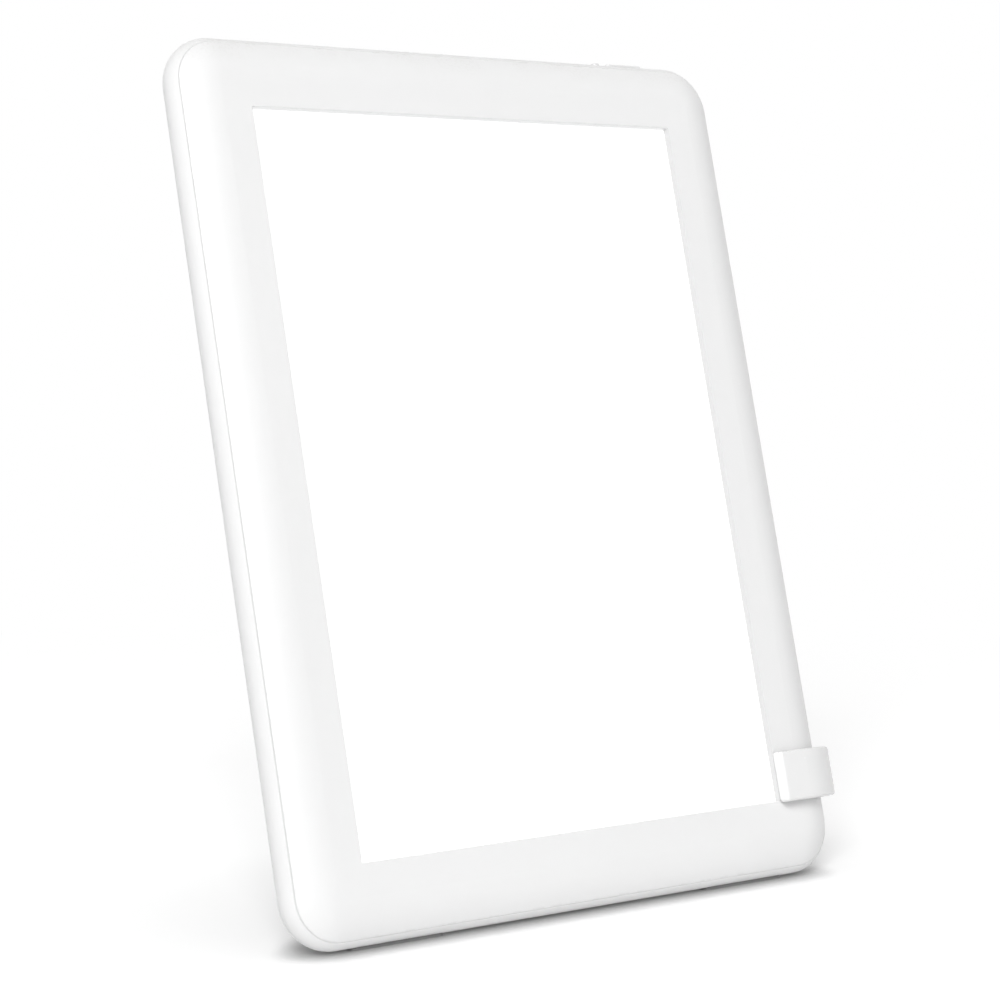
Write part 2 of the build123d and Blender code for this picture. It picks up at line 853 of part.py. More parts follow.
def actuator(x):
    """The short plunger that stands out of a switch."""
    with BuildPart() as plunger:
        with BuildSketch(across(switch_top - actuator_seat)):
            with Locations((x, button_y)):
                Circle(actuator_r)
        extrude(amount=actuator_seat + actuator_rise)
    return plunger.part


save(actuator(power_x), "power_actuator")
save(actuator(dimmer_x), "dimmer_actuator")

# The wide button and the small round one: a cap through the rear shell, a
# flange that keeps it in and a stem down to its switch.
with BuildPart() as power_button:
    with BuildSketch(across(flange_top - flange_t)):
        with Locations((power_x, button_y)):
            RectangleRounded(power_len, power_w, power_corner_r)
    extrude(amount=body_h + power_rise - flange_top + flange_t)
    fillet(power_button.edges().group_by(Axis(face.origin, face.y_dir))[-1], button_edge)
    with BuildSketch(across(flange_top - flange_t)):
        with Locations((power_x, button_y)):
            RectangleRounded(
                power_len + 2 * flange_lip, power_w + 2 * flange_lip, power_corner_r + flange_lip
            )
    extrude(amount=flange_t)
    with BuildSketch(across(stem_bottom)):
        with Locations((power_x, button_y)):
            Circle(stem_r)
    extrude(amount=flange_top - flange_t - stem_bottom)
save(power_button.part, "power_button")

with BuildPart() as dimmer_button:
    with BuildSketch(across(flange_top - flange_t)):
        with Locations((dimmer_x, button_y)):
            Circle(dimmer_r)
    extrude(amount=body_h + dimmer_rise - flange_top + flange_t)
    fillet(dimmer_button.edges().group_by(Axis(face.origin, face.y_dir))[-1], button_edge)
    with BuildSketch(across(flange_top - flange_t)):
        with Locations((dimmer_x, button_y)):
            Circle(dimmer_r + flange_lip)
    extrude(amount=flange_t)
    with BuildSketch(across(stem_bottom)):
        with Locations((dimmer_x, button_y)):
            Circle(stem_r)
    extrude(amount=flange_top - flange_t - stem_bottom)
save(dimmer_button.part, "dimmer_button")


# ------------------------------------------------------------------ stand
# One moulded strip on edge: a lip over the frame's flat, round the housing's
# side, flat along its back, then backwards and across to a bar that lands on
# the table. It grips the side and pulls off to the right.
def side_section(grow):
    """The housing's own edge section past the window, grown outwards."""
    side = parting_w / 2
    with BuildSketch() as section:
        with BuildLine():
            front = CenterArc((side - front_run, front_r), front_r + grow, -quarter, front_turn)
            bulge = CenterArc(
                (side - bulge_x, widest_depth),
                bulge_r + grow,
                front_turn - quarter,
                quarter - front_turn + slope_turn,
            )
            turn = CenterArc(
                (side - back_x, body_depth - back_r), back_r + grow, slope_turn, quarter - slope_turn
            )
            Line(bulge @ 1, turn @ 0)
            Polyline(turn @ 1, (lip_end_x, body_depth + grow), (lip_end_x, -grow), front @ 0)
        make_face()
    return section.sketch_local


with BuildPart() as stand_strip:
    with BuildSketch(across(strip_lift)):
        add(side_section(lip_front))
        add(side_section(clip_gap), mode=Mode.SUBTRACT)
        with BuildLine() as arm:
            FilletPolyline(
                (lip_end_x + lip_t, body_depth + clip_gap + lip_t / 2),
                (rear_lip_x, body_depth + clip_gap + lip_t / 2),
                (bar_start_x, bar_y),
                (bar_end_x, bar_y),
                radius=(rear_bend, bar_bend),
            )
        trace(arm.line, line_width=lip_t)
        with Locations((bar_end_x, bar_y)):
            Circle(lip_t / 2)
    extrude(amount=strip_w)
    lip_edges = stand_strip.edges().filter_by(Axis(face.origin, face.y_dir))
    lip_ends = lip_edges.filter_by(lambda edge: edge.center().Y < face.origin.Y + front_reach + lip_t * 3)
    fillet(lip_ends.group_by(Axis.X)[0], lip_end_r)
    fillet(stand_strip.faces().filter_by(Axis(face.origin, face.y_dir)).edges(), strip_edge)
save(stand_strip.part, "stand_strip")

# Two soft pads under the bar, wedge-shaped because the strip leans and the
# table doesn't.
with BuildPart() as stand_pads:
    with BuildSketch(across(strip_lift)):
        for pad_x in (bar_end_x, bar_start_x - bar_bend - stand_pad_len):
            with Locations((pad_x, bar_y)):
                Rectangle(
                    stand_pad_len, lip_t - 2 * stand_pad_inset, align=(Align.MIN, Align.CENTER)
                )
    extrude(amount=-strip_w)
    split(bisect_by=Plane.XY, keep=Keep.TOP)
save(stand_pads.part, "stand_pads")

# Two soft feet pressed into pockets under the rear shell's lowest line.
with BuildPart() as body_feet:
    with BuildSketch(Plane.XY):
        with Locations((face_x - foot_x, heel_y), (face_x + foot_x, heel_y)):
            RectangleRounded(foot_len, foot_w, foot_w / 2 - tongue_gap)
    extrude(amount=heel_lift + foot_seat)
save(body_feet.part, "body_feet")
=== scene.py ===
"""The look of a light therapy lamp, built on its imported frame.

Metres throughout, in the frame's own axes: +Z is up from the table and the
window faces -Y, leaning back. The sections follow the order of assembly."""

import json
import math

import bpy
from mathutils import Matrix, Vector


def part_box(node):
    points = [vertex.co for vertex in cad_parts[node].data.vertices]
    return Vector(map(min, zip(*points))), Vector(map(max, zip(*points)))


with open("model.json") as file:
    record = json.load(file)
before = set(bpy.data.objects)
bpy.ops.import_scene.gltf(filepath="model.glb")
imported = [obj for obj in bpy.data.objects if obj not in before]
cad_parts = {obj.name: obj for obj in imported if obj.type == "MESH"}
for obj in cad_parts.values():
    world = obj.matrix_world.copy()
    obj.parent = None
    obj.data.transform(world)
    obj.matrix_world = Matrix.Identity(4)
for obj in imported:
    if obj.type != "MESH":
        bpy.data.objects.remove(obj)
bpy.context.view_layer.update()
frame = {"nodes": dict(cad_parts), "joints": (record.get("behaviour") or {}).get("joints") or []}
nodes = frame["nodes"]

# ---------------------------------------------------------------- camera
# A long lens in front of the lamp and to its left, a little above its middle
# and tipped down towards it.
camera_turn = 36.25         # degrees to the right of straight back
camera_tip = 4.19           # degrees down

camera = bpy.data.objects.new("camera", bpy.data.cameras.new("camera"))
bpy.context.scene.collection.objects.link(camera)
bpy.context.scene.camera = camera
camera.location = (-0.3817, -0.51888, 0.14361)
camera.rotation_euler = (math.radians(90 - camera_tip), 0, math.radians(-camera_turn))
camera.data.sensor_width = 36
camera.data.lens = 94.47

bpy.context.scene.view_settings.view_transform = "Standard"


# ---------------------------------------------------------------- studio
# An even pale surround, one broad soft lamp from the front left, and a white
# tabletop that runs out to a white backdrop.
plain_white = (1, 1, 1, 1)


def node(tree, kind, wires=None, **settings):
    """A node with its settings, and a value or a link for each named input."""
    made = tree.nodes.new("ShaderNode" + kind)
    for key, value in settings.items():
        setattr(made, key, value)
    for key, value in (wires or {}).items():
        if isinstance(value, bpy.types.NodeSocket):
            tree.links.new(value, made.inputs[key])
        else:
            made.inputs[key].default_value = value
    return made


def rises(tree, value, low, high, start=0.0, end=1.0):
    """A value that goes from start to end as another goes from low to high."""
    made = node(tree, "MapRange", {"Value": value, "From Min": low, "From Max": high})
    made.inputs["To Min"].default_value = start
    made.inputs["To Max"].default_value = end
    return made.outputs["Result"]


def maths(tree, operation, first, second=0.0):
    """One sum on two values."""
    return node(tree, "Math", {0: first, 1: second}, operation=operation).outputs[0]


def axis_of(tree, vector, axis):
    """The X, Y or Z of a vector."""
    return node(tree, "SeparateXYZ", {0: vector}).outputs[axis]


def own_place(tree):
    """Where a point is on its own piece, which moves with it."""
    return node(tree, "TexCoord").outputs["Object"]


def openness(tree, reach, samples):
    """1 in the open, less where something is nearer than reach."""
    return node(tree, "AmbientOcclusion", {"Distance": reach}, samples=samples).outputs["AO"]


def seen_directly(tree):
    """1 for rays from the camera, by gloss or through glass, 0 for lighting."""
    path = node(tree, "LightPath")
    either = maths(tree, "MAXIMUM", path.outputs["Is Camera Ray"], path.outputs["Is Glossy Ray"])
    return maths(tree, "MAXIMUM", either, path.outputs["Is Transmission Ray"])


def surround():
    """White to the eye, and a dimmer grey as light, brightest overhead."""
    horizon = 0.31
    zenith = 0.50
    left_rear = (-0.80, 0.60, 0.0)
    left_rear_share = 0.55
    world = bpy.data.worlds.new("surround")
    bpy.context.scene.world = world
    world.use_nodes = True
    tree = world.node_tree
    tree.nodes.clear()
    ray = node(tree, "TexCoord").outputs["Generated"]
    overhead = rises(tree, axis_of(tree, ray, "Z"), low=0.0, high=1.0, start=horizon, end=zenith)
    away = node(tree, "VectorMath", {0: ray, 1: left_rear}, operation="DOT_PRODUCT").outputs["Value"]
    falling = rises(tree, away, low=0.0, high=1.0, start=1.0, end=left_rear_share)
    level = maths(tree, "MULTIPLY", overhead, falling)
    lit = node(tree, "Background", {"Color": plain_white, "Strength": level})
    seen = node(tree, "Background", {"Color": plain_white, "Strength": 1.0})
    pick = node(tree, "MixShader", {0: seen_directly(tree), 1: lit.outputs[0], 2: seen.outputs[0]})
    node(tree, "OutputWorld", {"Surface": pick.outputs[0]})


def soft_lamp(name, place, aim, size, power):
    """A square area lamp that looks at a point."""
    data = bpy.data.lights.new(name, "AREA")
    data.shape = "SQUARE"
    data.size = size
    data.energy = power
    lamp = bpy.data.objects.new(name, data)
    bpy.context.scene.collection.objects.link(lamp)
    lamp.location = place
    look = [a - b for a, b in zip(aim, place)]
    flat = math.hypot(look[0], look[1])
    lamp.rotation_euler = (math.atan2(flat, -look[2]), 0, math.atan2(look[1], look[0]) - math.pi / 2)


def tabletop():
    """A round white table that shades where it is sheltered and fades to pure white."""
    reach = 9.0
    sides = 96
    contact_reach = 0.007       # the dark line where something meets the table
    contact_level = 0.22
    shelter_reach = 0.09        # the soft shade round the lamp
    shelter_falloff = 1.8
    sheltered_glow = 0.08
    open_glow = 0.34
    fade_start = 0.20           # metres from the table's middle
    fade_end = 0.55
    mesh = bpy.data.meshes.new("tabletop")
    rim = [2 * math.pi * step / sides for step in range(sides)]
    mesh.from_pydata([(reach * math.cos(a), reach * math.sin(a), 0) for a in rim], [], [range(sides)])
    table = bpy.data.objects.new("tabletop", mesh)
    bpy.context.scene.collection.objects.link(table)

    material = bpy.data.materials.new("tabletop")
    material.use_nodes = True
    mesh.materials.append(material)
    tree = material.node_tree
    shader = tree.nodes["Principled BSDF"]
    place = own_place(tree)
    eye = seen_directly(tree)

    # the top's own white, and a painted shadow where things meet it, for the eye only
    grain = node(tree, "TexNoise", {"Vector": place, "Scale": 260.0, "Detail": 3.0}).outputs["Fac"]
    nearby = openness(tree, contact_reach, samples=6)
    contact_shadow = rises(tree, nearby, low=0.3, high=0.95, start=contact_level, end=1.0)
    seen_contact_shadow = maths(tree, "MAXIMUM", contact_shadow, maths(tree, "SUBTRACT", 1.0, eye))
    top_white = rises(tree, grain, low=0.3, high=0.7, start=0.90, end=0.92)
    shade = maths(tree, "MULTIPLY", top_white, seen_contact_shadow)
    tree.links.new(shade, shader.inputs["Base Color"])
    shader.inputs["Roughness"].default_value = 0.7

    # a glow for the eye only, weaker where the lamp shelters the table
    open_sky = maths(tree, "POWER", openness(tree, shelter_reach, samples=6), shelter_falloff)
    glow = rises(tree, open_sky, low=0.0, high=1.0, start=sheltered_glow, end=open_glow)
    lift = node(tree, "Emission", {"Color": plain_white, "Strength": glow})
    near = node(tree, "AddShader", {0: shader.outputs[0], 1: lift.outputs[0]})
    lifted = node(tree, "MixShader", {0: eye, 1: shader.outputs[0], 2: near.outputs[0]})

    # far away the table is as white as the backdrop
    away = node(tree, "VectorMath", {0: place}, operation="LENGTH").outputs["Value"]
    fade = maths(tree, "MULTIPLY", rises(tree, away, low=fade_start, high=fade_end), eye)
    white = node(tree, "Emission", {"Color": plain_white, "Strength": 1.0})
    mixed = node(tree, "MixShader", {0: fade, 1: lifted.outputs[0], 2: white.outputs[0]})
    tree.links.new(mixed.outputs[0], tree.nodes["Material Output"].inputs["Surface"])


surround()
soft_lamp("key", place=(-2.54, -2.73, 2.62), aim=(0, 0, 0.1), size=2.0, power=138)
tabletop()


# ---------------------------------------------------------------- front shell
# The frame is injection-moulded in white ABS with a fine satin grain. Hands polish its edges a little
# and dust settles where it faces up. Shade is painted into its gaps and onto the right step of its
# window.
abs_white = 0.87
plastic_ior = 1.5

press = next(joint for joint in frame["joints"] if joint["name"] == "power_press")
window_up = tuple(-part for part in press["axis"])
window_back = (0.0, window_up[2], -window_up[1])


def dress(material, *names):
    """Give CAD nodes their material."""
    for name in names:
        for place in nodes[name].material_slots:
            place.material = material


def shared(name, inputs, outputs):
    """An empty node group with number inputs and outputs."""
    tree = bpy.data.node_groups.new(name, "ShaderNodeTree")
    for label, value in inputs.items():
        socket = tree.interface.new_socket(label, in_out="INPUT", socket_type="NodeSocketFloat")
        socket.default_value = value
    for label in outputs:
        tree.interface.new_socket(label, in_out="OUTPUT", socket_type="NodeSocketFloat")
    return tree, tree.nodes.new("NodeGroupInput").outputs, tree.nodes.new("NodeGroupOutput").inputs


def speckle(tree, size, detail=2.0):
    """Noise with features of a size in metres, or of a size socket."""
    scale = maths(tree, "DIVIDE", 1.0, size)
    wires = {"Vector": own_place(tree), "Scale": scale, "Detail": detail}
    return node(tree, "TexNoise", wires).outputs["Fac"]


def make_grain():
    """Mould grain: its height, patches of shine and a slow drift of colour."""
    hand_size = 0.018
    streak_size = 0.004
    drift_size = 0.06
    pits_per_grain = 0.7
    hand_share = 0.7
    streak_share = 0.3
    tree, given, put = shared("mould_grain", {"Size": 0.0004}, ["Height", "Shine", "Mottle"])
    pit_scale = maths(tree, "DIVIDE", pits_per_grain, given["Size"])
    pits = node(tree, "TexVoronoi", {"Vector": own_place(tree), "Scale": pit_scale}, feature="SMOOTH_F1")
    fine = speckle(tree, given["Size"])
    tree.links.new(maths(tree, "ADD", fine, pits.outputs["Distance"]), put["Height"])
    hands = maths(tree, "MULTIPLY", speckle(tree, hand_size, 4.0), hand_share)
    streaks = maths(tree, "MULTIPLY", speckle(tree, streak_size), streak_share)
    shine = rises(tree, maths(tree, "ADD", hands, streaks), low=0.25, high=0.75)
    tree.links.new(shine, put["Shine"])
    mottle = rises(tree, speckle(tree, drift_size, 3.0), low=0.25, high=0.75)
    tree.links.new(mottle, put["Mottle"])
    return tree


def make_wear():
    """Where edges rub: a thin broken band that follows every corner."""
    break_size = 0.003
    tree, given, put = shared("edge_wear", {"Reach": 0.0006}, ["Edge"])
    round_normal = node(tree, "Bevel", {"Radius": given["Reach"]}, samples=3).outputs[0]
    true_normal = node(tree, "NewGeometry").outputs["Normal"]
    turned = node(tree, "VectorMath", {0: round_normal, 1: true_normal}, operation="DOT_PRODUCT")
    corner = rises(tree, turned.outputs["Value"], low=0.97, high=0.85)
    broken = rises(tree, speckle(tree, break_size, 4.0), low=0.42, high=0.60)
    tree.links.new(maths(tree, "MULTIPLY", corner, broken), put["Edge"])
    return tree


def make_dust():
    """Fine dust on what faces up, thicker in slow patches."""
    patch_size = 0.010
    speck_size = 0.0007
    even_film = 0.4
    tree, given, put = shared("settled_dust", {"Amount": 1.0}, ["Dust"])
    normal = node(tree, "NewGeometry").outputs["Normal"]
    upward = rises(tree, axis_of(tree, normal, "Z"), low=0.45, high=1.0)
    patches = rises(tree, speckle(tree, patch_size, 4.0), low=0.35, high=0.75)
    specks = rises(tree, speckle(tree, speck_size), low=0.52, high=0.62)
    film = maths(tree, "MULTIPLY", patches, maths(tree, "ADD", specks, even_film))
    settled = maths(tree, "MULTIPLY", film, upward)
    tree.links.new(maths(tree, "MULTIPLY", settled, given["Amount"]), put["Dust"])
    return tree


def make_crevice():
    """Where surfaces close in on each other: a mask for painted shade in gaps, and for painted light
    round the diffuser's rim.
    """
    tree, given, put = shared("crevice", {"Reach": 0.0015}, ["Depth"])
    clear = openness(tree, given["Reach"], samples=4)
    tree.links.new(rises(tree, clear, low=0.92, high=0.35), put["Depth"])
    return tree


def panel_axes():
    """Across, up the window and backwards, as numbers for a pattern."""
    tree, given, put = shared("panel_axes", {}, ["Across", "Up", "Back"])
    place = own_place(tree)
    for label, direction in (("Across", (1.0, 0.0, 0.0)), ("Up", window_up), ("Back", window_back)):
        along = node(tree, "VectorMath", {0: place, 1: direction}, operation="DOT_PRODUCT")
        tree.links.new(along.outputs["Value"], put[label])
    return tree


grain_group = make_grain()
wear_group = make_wear()
dust_group = make_dust()
crevice_group = make_crevice()
axes_group = panel_axes()


def use(tree, group, **given):
    """A shared group in a material, with its inputs set; returns its outputs."""
    made = tree.nodes.new("ShaderNodeGroup")
    made.node_tree = group
    for key, value in given.items():
        made.inputs[key].default_value = value
    return made.outputs


def mix(tree, share, first, second):
    """Two colours, or a colour and a socket, mixed by a share."""
    made = tree.nodes.new("ShaderNodeMix")
    made.data_type = "RGBA"
    for socket, value in ((made.inputs[0], share), (made.inputs[6], first), (made.inputs[7], second)):
        if isinstance(value, bpy.types.NodeSocket):
            tree.links.new(value, socket)
        else:
            socket.default_value = value
    return made.outputs[2]


def grey(level):
    """A neutral colour."""
    return (level, level, level, 1)


def tinted(colour, factor):
    """A colour, lighter or darker."""
    return tuple(channel * factor for channel in colour[:3]) + (1,)


def new_material(name):
    """A material, its node tree and its shader."""
    material = bpy.data.materials.new(name)
    material.use_nodes = True
    tree = material.node_tree
    return material, tree, tree.nodes["Principled BSDF"]


def paint(tree, shader, share, first, second):
    """The shader's colour, from one to another by a share."""
    tree.links.new(mix(tree, share, first, second), shader.inputs["Base Color"])


def roughen(tree, shader, pattern, smooth, rough, low=0.3, high=0.7):
    """The shader's roughness, from smooth to rough as a pattern rises."""
    roughness = rises(tree, pattern, low, high, start=smooth, end=rough)
    tree.links.new(roughness, shader.inputs["Roughness"])


def bump(tree, shader, height, depth):
    """Relief from a height of 0 to 1 that is depth metres deep."""
    made = node(tree, "Bump", {"Height": height, "Distance": depth, "Strength": 1.0})
    tree.links.new(made.outputs[0], shader.inputs["Normal"])


def moulded(name, colour, rough, grain=0.0004, depth=0.00001, reach=0.0006, crevice_shade=0.3, shade_and_roughness=None):
    """A moulded plastic: grain, patchy shine, rubbed edges, dust, and painted shade in its gaps.

    The mask function, if given, marks a place that gets painted shade and a rougher finish."""
    faded = tinted(colour, 0.985)
    rubbed = tinted(colour, 0.93)
    step_shade_colour = tinted(colour, 0.78)
    crevice_shade_colour = tinted(colour, 0.45)
    dusty = (0.62, 0.60, 0.57, 1)
    rubbed_share = 0.35
    rubbed_smoother = 0.10
    dusty_rougher = 0.3
    dulled_rougher = 0.35
    material, tree, shader = new_material(name)
    skin = use(tree, grain_group, Size=grain)
    worn = use(tree, wear_group, Reach=reach)["Edge"]
    dust = use(tree, dust_group, Amount=0.35)["Dust"]
    # painted shade where surfaces close in on each other
    crevice_shade_share = maths(tree, "MULTIPLY", use(tree, crevice_group)["Depth"], crevice_shade)

    surface = mix(tree, skin["Mottle"], colour, faded)
    surface = mix(tree, maths(tree, "MULTIPLY", worn, rubbed_share), surface, rubbed)
    surface = mix(tree, dust, surface, dusty)
    roughness = rises(tree, skin["Shine"], low=0.0, high=1.0, start=rough - 0.025, end=rough + 0.03)
    # painted shade and a rougher finish where the mask says
    if shade_and_roughness:
        shade_and_roughness_mask = shade_and_roughness(tree)
        surface = mix(tree, shade_and_roughness_mask, surface, step_shade_colour)
        roughness = maths(tree, "ADD", roughness, maths(tree, "MULTIPLY", shade_and_roughness_mask, dulled_rougher))
    paint(tree, shader, crevice_shade_share, surface, crevice_shade_colour)
    roughness = maths(tree, "SUBTRACT", roughness, maths(tree, "MULTIPLY", worn, rubbed_smoother))
    roughness = maths(tree, "ADD", roughness, maths(tree, "MULTIPLY", dust, dusty_rougher))
    tree.links.new(roughness, shader.inputs["Roughness"])
    shader.inputs["IOR"].default_value = plastic_ior
    bump(tree, shader, skin["Height"], depth)
    return material


def window_step(tree):
    """The step down to the window at its right side, which gets painted shade and a rougher finish."""
    past_middle = 0.05
    normal = node(tree, "NewGeometry").outputs["Normal"]
    inward = rises(tree, axis_of(tree, normal, "X"), low=-0.2, high=-0.5)
    right = maths(tree, "GREATER_THAN", use(tree, axes_group)["Across"], past_middle)
    return maths(tree, "MULTIPLY", inward, right)


# painted shade in the frame's gaps and on its window's right step
dress(moulded("frame_white", grey(abs_white), 0.34, crevice_shade=0.08, shade_and_roughness=window_step), "front_shell")


# ---------------------------------------------------------------- diffuser
# A sheet of opal acrylic laid into the frame from behind. Lit from its back it glows evenly, a trace
# less near the middle, which is furthest from the lamps, and more round its rim, where light is painted
# in against the shade of the frame's step.
acrylic_ior = 1.49


def opal():
    """Opal acrylic that glows from within."""
    middle_glow = (0.66, 0.67, 0.68, 1)
    side_glow = grey(0.68)
    painted_edge_light = grey(1.0)
    border_reach = 0.003
    side_share = 0.7
    cloud_share = 0.3
    material, tree, shader = new_material("opal_acrylic")
    skin = use(tree, grain_group, Size=0.0009)
    dust = use(tree, dust_group, Amount=0.3)["Dust"]
    paint(tree, shader, dust, grey(0.34), grey(0.42))
    roughen(tree, shader, skin["Shine"], smooth=0.42, rough=0.5, low=0.0, high=1.0)
    shader.inputs["IOR"].default_value = acrylic_ior
    bump(tree, shader, skin["Height"], 0.000006)

    low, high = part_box("diffuser_panel")
    across = maths(tree, "ABSOLUTE", axis_of(tree, own_place(tree), "X"))
    side = rises(tree, across, low=0.0, high=(high[0] - low[0]) / 2)
    cloudy = maths(tree, "MULTIPLY", skin["Mottle"], cloud_share)
    share = maths(tree, "ADD", maths(tree, "MULTIPLY", side, side_share), cloudy)
    glow = mix(tree, share, middle_glow, side_glow)
    # painted light round the rim, where the frame's step shades it
    edge_light_share = use(tree, crevice_group, Reach=border_reach)["Depth"]
    tree.links.new(mix(tree, edge_light_share, glow, painted_edge_light), shader.inputs["Emission Color"])
    shader.inputs["Emission Strength"].default_value = 1.0
    return material


dress(opal(), "diffuser_panel")


# ---------------------------------------------------------------- light guide
# Clear acrylic behind the diffuser, etched with small dots that turn the light
# forwards; the white film behind it has a soft foamed surface.
def flat_place(tree, stretch=1.0):
    """A pattern's place on the panel's plane, with up scaled by stretch."""
    axes = use(tree, axes_group)
    up = maths(tree, "MULTIPLY", axes["Up"], stretch)
    return node(tree, "CombineXYZ", {0: axes["Across"], 1: up, 2: axes["Back"]}).outputs[0]


def clear_guide():
    """Clear acrylic with rows of etched dots."""
    dots_per_metre = 650.0
    material, tree, shader = new_material("guide_acrylic")
    wires = {"Vector": flat_place(tree), "Scale": dots_per_metre, "Randomness": 0.15}
    dots = node(tree, "TexVoronoi", wires, voronoi_dimensions="2D").outputs["Distance"]
    etched = rises(tree, dots, low=0.30, high=0.22)
    paint(tree, shader, etched, (0.93, 0.97, 0.98, 1), grey(0.97))
    roughen(tree, shader, etched, smooth=0.03, rough=0.6, low=0.0, high=1.0)
    shader.inputs["Transmission Weight"].default_value = 1.0
    shader.inputs["IOR"].default_value = acrylic_ior
    bump(tree, shader, etched, 0.00003)
    return material


def foam_film():
    """White film with a fine foamed face."""
    cell_size = 0.0003
    patch_size = 0.01
    material, tree, shader = new_material("white_film")
    cells = speckle(tree, cell_size, 4.0)
    paint(tree, shader, cells, grey(0.90), grey(0.95))
    roughen(tree, shader, speckle(tree, patch_size), smooth=0.55, rough=0.65)
    bump(tree, shader, cells, 0.00001)
    return material


dress(clear_guide(), "light_guide")
dress(foam_film(), "reflector_sheet")


# ---------------------------------------------------------------- lamp strips
# Narrow circuit strips with white solder mask and tinned pads in a row. The
# lamps on them are small packages filled with phosphor gel.
def repeat(tree, value, pitch):
    """How far a value is into its pitch, from 0 to 1."""
    return maths(tree, "FRACT", maths(tree, "DIVIDE", value, pitch))


def strip_mask():
    """White solder mask with a pad in the middle of every pitch."""
    pad_pitch = 0.003
    half_pad = 0.14             # as a share of the pitch
    tin = (0.74, 0.72, 0.66, 1)
    material, tree, shader = new_material("strip_mask")
    into = repeat(tree, use(tree, axes_group)["Up"], pad_pitch)
    off_pad = maths(tree, "ABSOLUTE", maths(tree, "SUBTRACT", into, 0.5))
    pads = maths(tree, "LESS_THAN", off_pad, half_pad)
    skin = use(tree, grain_group, Size=0.0003)
    mask = mix(tree, skin["Mottle"], (0.88, 0.88, 0.83, 1), (0.85, 0.85, 0.80, 1))
    paint(tree, shader, pads, mask, tin)
    tree.links.new(pads, shader.inputs["Metallic"])
    roughen(tree, shader, skin["Shine"], smooth=0.28, rough=0.38, low=0.0, high=1.0)
    bump(tree, shader, maths(tree, "ADD", pads, skin["Height"]), 0.00001)
    return material


def phosphor():
    """Yellow phosphor grains in clear gel, lit."""
    grain_size = 0.0001
    material, tree, shader = new_material("phosphor_gel")
    grains = speckle(tree, grain_size, 3.0)
    paint(tree, shader, grains, (0.92, 0.80, 0.36, 1), (0.98, 0.90, 0.55, 1))
    glow = mix(tree, grains, (1.0, 0.96, 0.86, 1), grey(1.0))
    tree.links.new(glow, shader.inputs["Emission Color"])
    shader.inputs["Emission Strength"].default_value = 2.0
    roughen(tree, shader, grains, smooth=0.2, rough=0.34)
    bump(tree, shader, grains, 0.000005)
    return material


dress(strip_mask(), "led_strip_left", "led_strip_right")
dress(phosphor(), "leds_left", "leds_right")


# ---------------------------------------------------------------- tray
# Folded aluminium sheet in mill finish, with the fine lines of rolling up its
# length, held by four zinc-plated screws.
def rolled_sheet():
    """Mill-finish aluminium with lines of rolling up the window."""
    lines_per_metre = 2600.0
    line_stretch = 0.02
    edge = grey(0.88)
    material, tree, shader = new_material("rolled_aluminium")
    wires = {"Vector": flat_place(tree, line_stretch), "Scale": lines_per_metre, "Detail": 3.0}
    lines = node(tree, "TexNoise", wires).outputs["Fac"]
    worn = use(tree, wear_group, Reach=0.0004)["Edge"]
    skin = use(tree, grain_group, Size=0.0012)
    sheet = mix(tree, lines, (0.74, 0.75, 0.76, 1), (0.80, 0.81, 0.82, 1))
    paint(tree, shader, worn, sheet, edge)
    shader.inputs["Metallic"].default_value = 1.0
    roughen(tree, shader, skin["Shine"], smooth=0.30, rough=0.42, low=0.0, high=1.0)
    bump(tree, shader, lines, 0.000008)
    return material


def plated_steel():
    """Zinc plating, cloudy and finely scratched, bright at the edges."""
    cloud_size = 0.0015
    scratch_size = 0.0002
    edge = grey(0.84)
    material, tree, shader = new_material("zinc_plated_steel")
    cloud = speckle(tree, cloud_size, 3.0)
    scratch = speckle(tree, scratch_size, 4.0)
    worn = use(tree, wear_group, Reach=0.0003)["Edge"]
    plate = mix(tree, cloud, (0.66, 0.67, 0.70, 1), (0.74, 0.73, 0.70, 1))
    paint(tree, shader, worn, plate, edge)
    shader.inputs["Metallic"].default_value = 1.0
    roughen(tree, shader, scratch, smooth=0.24, rough=0.4)
    bump(tree, shader, scratch, 0.000006)
    return material


dress(rolled_sheet(), "chassis_tray")
dress(plated_steel(), "chassis_screws", "board_screws", "housing_screws")


# ---------------------------------------------------------------- driver board
# Glass-epoxy board under green solder mask, with copper tracks that show
# through as lighter lines. It drives the strips and carries a coil, two
# capacitors, two chips and four sockets.
def circuit_board():
    """Green solder mask over patches of tracks that run across or up."""
    row_pitch = 0.0019
    run_pitch = 0.0023
    row_width = 0.34            # track widths as shares of the pitch
    run_width = 0.30
    row_patches = 0.4           # the share of patches with tracks across, and up
    run_patches = 0.4
    patches_per_metre = 140.0
    copper_green = (0.10, 0.40, 0.19, 1)
    material, tree, shader = new_material("circuit_board")
    axes = use(tree, axes_group)
    rows = maths(tree, "LESS_THAN", repeat(tree, axes["Up"], row_pitch), row_width)
    runs = maths(tree, "LESS_THAN", repeat(tree, axes["Across"], run_pitch), run_width)
    wires = {"Vector": flat_place(tree), "Scale": patches_per_metre}
    patches = node(tree, "TexVoronoi", wires, voronoi_dimensions="2D", distance="CHEBYCHEV")
    pick = axis_of(tree, patches.outputs["Color"], "X")
    across = maths(tree, "MULTIPLY", rows, maths(tree, "LESS_THAN", pick, row_patches))
    along = maths(tree, "MULTIPLY", runs, maths(tree, "GREATER_THAN", pick, 1 - run_patches))
    track = maths(tree, "MAXIMUM", across, along)
    skin = use(tree, grain_group, Size=0.0005)
    mask = mix(tree, skin["Mottle"], (0.035, 0.20, 0.10, 1), (0.045, 0.24, 0.12, 1))
    paint(tree, shader, track, mask, copper_green)
    roughen(tree, shader, skin["Shine"], smooth=0.22, rough=0.34, low=0.0, high=1.0)
    bump(tree, shader, track, 0.00002)
    return material


